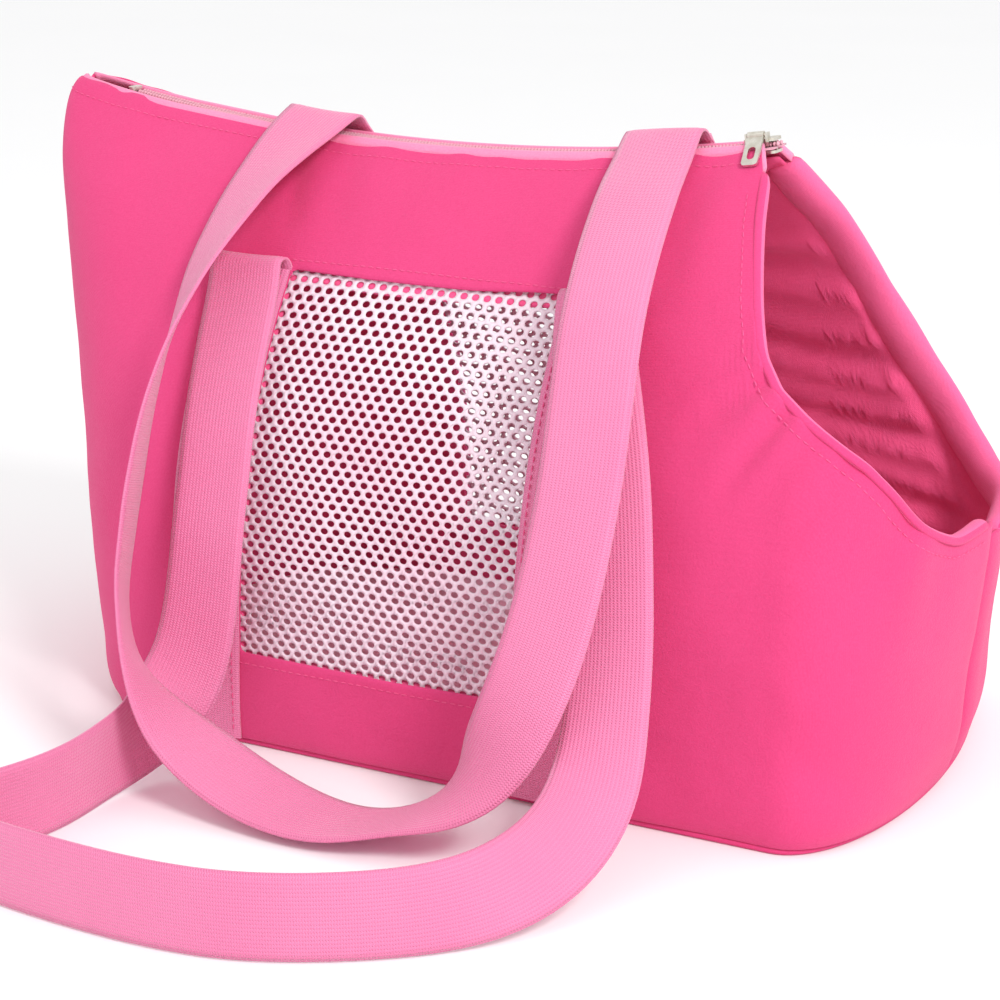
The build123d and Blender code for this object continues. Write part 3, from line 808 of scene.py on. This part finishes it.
# %% The tree that puts an item along a path
def path_tree():
    tree = bpy.data.node_groups.new("items_along_a_path", "GeometryNodeTree")
    face = tree.interface
    face.new_socket("Path", in_out="INPUT", socket_type="NodeSocketGeometry")
    item = face.new_socket("Item", in_out="INPUT", socket_type="NodeSocketObject")
    pitch = face.new_socket("Pitch", in_out="INPUT", socket_type="NodeSocketFloat")
    finish = face.new_socket("Finish", in_out="INPUT", socket_type="NodeSocketMaterial")
    face.new_socket("Items", in_out="OUTPUT", socket_type="NodeSocketGeometry")
    new, link = tree.nodes.new, tree.links.new
    start, end = new("NodeGroupInput"), new("NodeGroupOutput")
    curve, cut = new("GeometryNodeMeshToCurve"), new("GeometryNodeResampleCurve")
    tangent, up = new("GeometryNodeInputTangent"), new("GeometryNodeInputNamedAttribute")
    turn, info = new("FunctionNodeAxesToRotation"), new("GeometryNodeObjectInfo")
    put, real = new("GeometryNodeInstanceOnPoints"), new("GeometryNodeRealizeInstances")
    colour = new("GeometryNodeSetMaterial")
    cut.mode = "LENGTH"
    up.data_type = "FLOAT_VECTOR"
    up.inputs["Name"].default_value = "up"
    turn.primary_axis, turn.secondary_axis = "X", "Z"
    link(start.outputs["Path"], curve.inputs["Mesh"])
    link(curve.outputs["Curve"], cut.inputs["Curve"])
    link(start.outputs["Pitch"], cut.inputs["Length"])
    link(cut.outputs["Curve"], put.inputs["Points"])
    link(start.outputs["Item"], info.inputs["Object"])
    link(info.outputs["Geometry"], put.inputs["Instance"])
    link(tangent.outputs["Tangent"], turn.inputs[0])
    link([s for s in up.outputs if s.enabled][0], turn.inputs[1])
    link(turn.outputs["Rotation"], put.inputs["Rotation"])
    link(put.outputs["Instances"], real.inputs["Geometry"])
    link(real.outputs["Geometry"], colour.inputs["Geometry"])
    link(start.outputs["Finish"], colour.inputs["Material"])
    link(colour.outputs["Geometry"], end.inputs["Items"])
    return tree, item.identifier, pitch.identifier, finish.identifier


PATHS, ITEM, PITCH, FINISH = path_tree()


def along(name, runs, item, pitch, finish):
    """Items at an even pitch along each run of (point, way out); returns a plain mesh."""
    points, links, ups = [], [], []
    for run in runs:
        links += [(len(points) + k, len(points) + k + 1) for k in range(len(run) - 1)]
        points += [p for p, _ in run]
        ups += [c for _, up in run for c in up]
    mesh = bpy.data.meshes.new(name)
    mesh.from_pydata([tuple(p) for p in points], links, [])
    mesh.attributes.new("up", "FLOAT_VECTOR", "POINT").data.foreach_set("vector", ups)
    made = bpy.data.objects.new(name, mesh)
    bpy.context.scene.collection.objects.link(made)
    nodes = made.modifiers.new("Items", "NODES")
    nodes.node_group = PATHS
    nodes[ITEM], nodes[PITCH], nodes[FINISH] = item, pitch, finish
    plain(made)
    made.data.shade_smooth()
    return made


def pattern_item(name, long, wide, high, rings=6, turns=8):
    """A small rounded bead to repeat, longest along X. It is removed once it has been used."""
    bm = bmesh.new()
    bmesh.ops.create_uvsphere(bm, u_segments=turns, v_segments=rings, radius=0.5)
    for vertex in bm.verts:
        x, y, z = vertex.co
        vertex.co = (long * z, wide * x, high * y)
    mesh = bpy.data.meshes.new(name)
    bm.to_mesh(mesh)
    bm.free()
    made = bpy.data.objects.new(name, mesh)
    bpy.context.scene.collection.objects.link(made)
    return made


# %% The zip: woven tapes, coil and metal parts
TAPE_LOW_Z = BASE_TOP + HEM_RISE * (RIDGE_LOW - BASE_TOP) - 1.4 * MM
TAPE_RADIUS = RIDGE_RADIUS / HEM_RISE
UP = Vector((0, 0, 1))
COIL_PITCH, STITCH_PITCH = 1.45 * MM, 3.4 * MM


def tape_z(x):
    return TAPE_LOW_Z + TAPE_RADIUS - math.sqrt(TAPE_RADIUS ** 2 - (x - RIDGE_X) ** 2)


coil_turn = pattern_item("coil_turn", 1.15 * MM, 2.3 * MM, 1.9 * MM)
for label, side, _ in SIDES:
    places = spaced(*ZIP_X, 4 * MM)
    path = [Vector((x, side * 4.2 * MM, tape_z(x) - 0.4 * MM)) for x in places]
    ways = [(Vector((0, side, 0)), UP)] * len(path)
    ring = [(a * MM, b * MM) for a, b in ((-3.3, 0.35), (3.2, 0.35), (3.2, -0.35), (-3.3, -0.35))]
    tape = swept(f"{label}_zip_ribbon", path, ways, ring, zip_cloth)
    belongs(tape, "bag", "zip_tape", f"{label}_zip_tape")
    run = [(Vector((x, side * 1.85 * MM, tape_z(x) + 0.9 * MM)), UP)
           for x in spaced(ZIP_X[0] + 6 * MM, ZIP_X[1], 4 * MM)]
    coil = along(f"{label}_zip_coil", [run], coil_turn, COIL_PITCH, coil_thread)
    belongs(coil, "bag", "zip_chain", f"{label}_zip_chain")
bpy.data.objects.remove(coil_turn)


def refinish(node, finish):
    """A CAD piece that keeps its shape gets the finish in every one of its slots."""
    for material_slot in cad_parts[node].material_slots:
        material_slot.material = finish


for node in ("zip_slider", "zip_pull", "zip_rear_stop"):
    refinish(node, slider_metal)

# %% Rows of stitches
stitch = pattern_item("stitch", 2.5 * MM, 0.62 * MM, 0.5 * MM, rings=5, turns=6)


def laid_on(tree, run):
    """The run moved onto the cloth that the tree holds, with the cloth's own way out."""
    laid = []
    for spot, out in run:
        near, normal, _, _ = tree.find_nearest(spot + out * 4 * MM)
        if normal.dot(out) > 0.3:
            laid.append((near + normal * 0.12 * MM, normal))
    return laid


for label, side, _ in SIDES:
    tree = BVHTree.FromObject(bpy.data.objects[f"{label}_panel_cloth"],
                              bpy.context.evaluated_depsgraph_get())
    runs = []
    for first, last, lower in ((2, zip_column, 0.022), (zip_column + 1, len(COLUMNS) - 2, 0.0)):
        path, ways = edge_frames(label, side, first, last, 0.0, lower)
        if first > 2:
            path = [p + across * 5 * MM for p, (across, _) in zip(path, square_to(path, ways))]
        runs.append(laid_on(tree, [(p, out) for p, (_, out) in zip(path, ways)]))
    for z in (WINDOW_Z[0] - 4 * MM, WINDOW_Z[1] + 4 * MM):
        runs.append(laid_on(tree, [(on_side(x, z, 0, side), outward(x, z, side))
                                   for x in spaced(*WINDOW_X, 6 * MM)]))
    for x in STRAP_X.values():
        for shift in (-1, 1):
            line = x + shift * (STRAP_WIDTH / 2 - 2.6 * MM)
            runs.append([(on_side(line, z, -1.95 * MM, side), outward(line, z, side))
                         for z in spaced(8 * MM, SEWN_TOP - 3 * MM, 8 * MM)])
    seams = along(f"{label}_stitches", runs, stitch, STITCH_PITCH, stitch_thread)
    belongs(seams, "bag", "binding_tape")
bpy.data.objects.remove(stitch)

# %% [markdown]
# ## Base cushion
# The loose pad in the cabin is a stuffed slab: full in the middle, drawn in at its seam and
# quilted across. It is mostly hidden, so its crown is a formula, not a simulation. The cloth
# under the base is a stack of outlines joined like a tube, which softens its lower edge. The
# board and the window tapes keep their CAD shapes, so they only need a finish.

# %% The quilted pad
pad_low, pad_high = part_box("base_cushion")
across, along_pad = 30, 54
points, faces = [], []
middle = (Vector(pad_low) + Vector(pad_high)) / 2
half = (Vector(pad_high) - Vector(pad_low)) / 2
for face_side in (1, -1):
    for i in range(along_pad + 1):
        for j in range(across + 1):
            a, b = 2 * i / along_pad - 1, 2 * j / across - 1
            x, y = a * math.sqrt(1 - 0.42 * b * b), b * math.sqrt(1 - 0.36 * a * a)
            edge = max(abs(a), abs(b))
            crown = max(0.0, 1 - edge ** 6) ** 0.5
            quilt = 0.16 * swell((a * 3) % 1 - 0.5, 0, 0.06) * (1 if face_side > 0 else 0)
            depth = half.z * max(0.02, crown - quilt * crown)
            points.append(middle + Vector((x * half.x * 0.985, y * half.y * 0.985, face_side * depth)))
sheet_count = (along_pad + 1) * (across + 1)
for face_side in (0, 1):
    for i in range(along_pad):
        for j in range(across):
            k = face_side * sheet_count + i * (across + 1) + j
            loop = [k, k + across + 1, k + across + 2, k + 1]
            faces.append(loop if face_side == 0 else loop[::-1])
cushion = face_outwards(piece("base_pad", points, faces, cushion_cloth), bridged=True)
cushion.data.shade_smooth()
belongs(cushion, "bag", "cushion_fabric", "base_cushion")

# %% The cloth under the base
outline = [bag_point(column, 0.0, 1.2 * MM, -1) for column in COLUMNS]
outline += [Vector((p.x, -p.y, p.z)) for p in outline[-2:0:-1]]
count = len(outline)
levels = [(2.0, 0.0), (0.3, 0.5), (0.0, 1.4), (0.4, 2.6)]
points = []
for inset, height in levels:
    for k, spot in enumerate(outline):
        ahead = outline[(k + 1) % count] - outline[k - 1]
        inward = Vector((-ahead.y, ahead.x, 0)).normalized()
        points.append(Vector((spot.x, spot.y, 0)) + inward * inset * MM + Vector((0, 0, height * MM)))
base_cloth = piece("base_cloth", points, tube_faces(len(levels), count), shell_cloth)
belongs(base_cloth, "bag", "shell_fabric", "base_panel")

# %% CAD pieces that stay, in their finishes
for node, finish in (("near_window_tape", facing_cloth), ("far_window_tape", facing_cloth),
                     ("base_board", cushion_cloth)):
    refinish(node, finish)

# %% [markdown]
# ## Floor, light and camera
# A pale floor under broad, soft light keeps the cloth's own colours. The camera stands a
# little above the near side and towards the head opening, far enough off to flatten it.

# %% Studio
floor = piece("floor", [(-15, -15, 0), (15, -15, 0), (15, 15, 0), (-15, 15, 0)], [[0, 1, 2, 3]], None)
floor_paint = Finish("floor_paint", (0.93, 0.93, 0.935), 0.9)
floor_tone = floor_paint.between(floor_paint.noise(3, 2), (0.94, 0.94, 0.945), (0.92, 0.92, 0.925))
floor_paint.feed("Base Color", floor_tone)
floor.data.materials.append(floor_paint.made)
world = bpy.data.worlds.new("studio")
bpy.context.scene.world = world
world.use_nodes = True
world.node_tree.nodes["Background"].inputs["Color"].default_value = (1, 1, 1, 1)
world.node_tree.nodes["Background"].inputs["Strength"].default_value = 1.0
bpy.context.scene.view_settings.view_transform = "Standard"


def softbox(name, place, aim, size, power):
    light = bpy.data.lights.new(name, "AREA")
    light.shape, light.size, light.energy = "DISK", size, power
    made = bpy.data.objects.new(name, light)
    bpy.context.scene.collection.objects.link(made)
    made.location = place
    made.rotation_euler = (Vector(aim) - Vector(place)).to_track_quat("-Z", "Y").to_euler()


softbox("key", (-0.5, -1.5, 1.5), (0, 0, 0.1), 0.9, 1.5)
softbox("opening_light", (1.05, -0.75, 1.15), (0.15, 0.04, 0.15), 0.45, 15)

# %% Camera
VIEW_TURN, VIEW_RISE = math.radians(26.72), math.radians(17.39)
VIEW_DISTANCE, VIEW_AIM, FIELD = 0.9774, Vector((0, 0, 0.0848)), 2.3348
back = Vector((math.sin(VIEW_TURN) * math.cos(VIEW_RISE), -math.cos(VIEW_TURN) * math.cos(VIEW_RISE),
               math.sin(VIEW_RISE)))
right = Vector((math.cos(VIEW_TURN), math.sin(VIEW_TURN), 0))
camera = bpy.data.objects.new("camera", bpy.data.cameras.new("camera"))
bpy.context.scene.collection.objects.link(camera)
camera.data.sensor_width = 36.0
camera.data.lens = 36.0 * FIELD
camera.matrix_world = Matrix.Translation(VIEW_AIM + back * VIEW_DISTANCE) @ Matrix(
    (right, back.cross(right), back)).transposed().to_4x4()
bpy.context.scene.camera = camera
